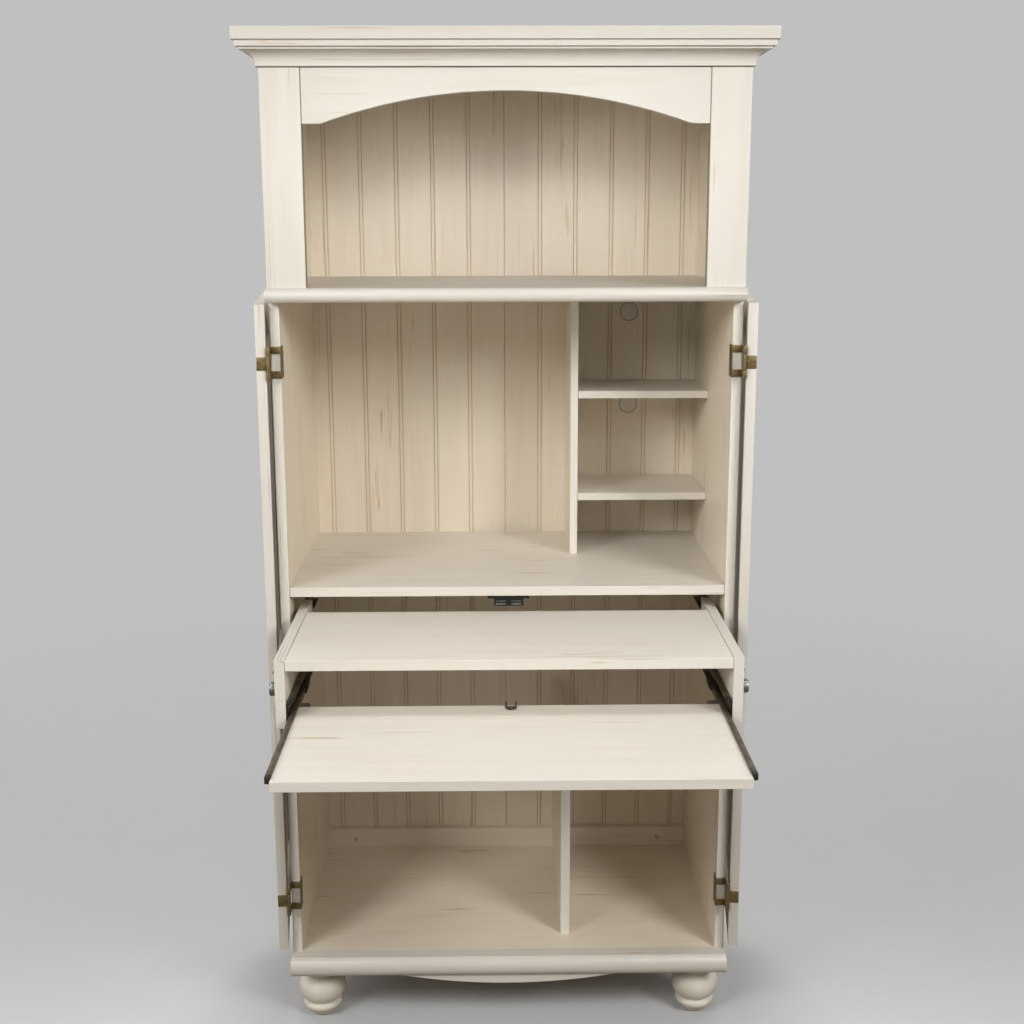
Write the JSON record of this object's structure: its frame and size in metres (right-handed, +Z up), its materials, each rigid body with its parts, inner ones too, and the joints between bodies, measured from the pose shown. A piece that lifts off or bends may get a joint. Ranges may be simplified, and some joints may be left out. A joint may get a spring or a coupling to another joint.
{
  "type": "computer armoire",
  "caption": "Tall computer armoire on bun feet: open arched hutch above a cabinet with fold-back doors, fixed desk, pull-out shelf and sliding keyboard shelf.",
  "frame": {"origin": "middle of the armoire's whole box as it stands open, on the floor under the feet", "axes": "+X to the right seen from the front, +Y from the front to the back, +Z up"},
  "size_m": [1.017, 1.045, 1.92],
  "materials": {
    "ivory_laminate": "antique white laminate with a fine grain and tan rubbed streaks, satin",
    "ivory_beadboard": "antique white beaded board, satin",
    "painted_turning": "antique white paint on turned wood, satin",
    "antique_brass": "dark antique finish",
    "nickel": "satin nickel",
    "slide_bronze": "dark bronze coat, semi-gloss",
    "black_plastic": "matt black",
    "catch_black": "matt black with dull magnet faces",
    "dark_steel": "blackened spring steel",
    "zinc": "zinc plated"
  },
  "bodies": {
    "cabinet": {"arched_rail": "ivory_laminate", "back_panel_left": "ivory_beadboard", "back_panel_right": "ivory_beadboard", "base_back_rail": "ivory_laminate", "base_front_moulding": "ivory_laminate", "base_side_rails": "ivory_laminate", "cabinet_screws": "zinc", "cornice_lower_slab": "ivory_laminate", "cornice_moulding_front": "ivory_laminate", "cornice_moulding_left": "ivory_laminate", "cornice_moulding_right": "ivory_laminate", "cornice_top_slab": "ivory_laminate", "desk_slide_outer_members": "slide_bronze", "desktop": "ivory_laminate", "double_catch": "catch_black", "floor_panel": "ivory_laminate", "foot_blocks": "ivory_laminate", "foot_front_left": "painted_turning", "foot_front_right": "painted_turning", "foot_rear_left": "painted_turning", "foot_rear_right": "painted_turning", "front_apron": "ivory_laminate", "hinge_frames": "antique_brass", "hutch_side_left": "ivory_laminate", "hutch_side_right": "ivory_laminate", "hutch_stile_left": "ivory_laminate", "hutch_stile_right": "ivory_laminate", "hutch_top_panel": "ivory_laminate", "lower_divider": "ivory_laminate", "rear_cleat": "ivory_laminate", "shelf_pins": "zinc", "side_left": "ivory_laminate", "side_right": "ivory_laminate", "small_shelf_lower": "ivory_laminate", "small_shelf_upper": "ivory_laminate", "upper_divider": "ivory_laminate", "waist_board": "ivory_laminate"},
    "door_left": {"door_left_frame": "ivory_laminate", "door_left_hinge_tabs": "antique_brass", "door_left_knob": "nickel", "door_left_panels": "ivory_beadboard", "door_left_strike": "zinc"},
    "door_right": {"door_right_frame": "ivory_laminate", "door_right_hinge_tabs": "antique_brass", "door_right_knob": "nickel", "door_right_panels": "ivory_beadboard", "door_right_strike": "zinc"},
    "pull_out": {"pull_out_shelf": "ivory_laminate", "pull_out_side_left": "ivory_laminate", "pull_out_side_right": "ivory_laminate", "pull_out_knobs": "nickel", "desk_slide_inner_members": "slide_bronze", "keyboard_slide_outer_members": "slide_bronze", "keyboard_slide_noses": "black_plastic"},
    "desk_slide_middles": {"desk_slide_middle_members": "slide_bronze"},
    "keyboard_tray": {"keyboard_shelf": "ivory_laminate", "spring_clip": "dark_steel", "keyboard_slide_rails": "slide_bronze", "keyboard_slide_caps": "black_plastic", "keyboard_slide_stops": "black_plastic"}
  },
  "joints": [
    {"name": "door_left_hinge", "type": "hinge", "parent": "cabinet", "child": "door_left", "pos_m": [-0.4335, 0.0135, 0.81], "axis": [0, 0, 1], "range_deg": [-3, 158]},
    {"name": "door_right_hinge", "type": "hinge", "parent": "cabinet", "child": "door_right", "pos_m": [0.4335, 0.0135, 0.81], "axis": [0, 0, 1], "range_deg": [-158, 3]},
    {"name": "desk_slide", "type": "slide", "parent": "cabinet", "child": "pull_out", "axis": [0, 1, 0], "range_m": [0, 0.294]},
    {"name": "desk_slide_middle", "type": "slide", "parent": "cabinet", "child": "desk_slide_middles", "axis": [0, 1, 0], "range_m": [0, 0.147]},
    {"name": "keyboard_slide", "type": "slide", "parent": "pull_out", "child": "keyboard_tray", "axis": [0, 1, 0], "range_m": [0, 0.268]}
  ],
  "couplings": [
    {"joint": "desk_slide_middle", "follows": "desk_slide", "ratio": 0.5}
  ]
}
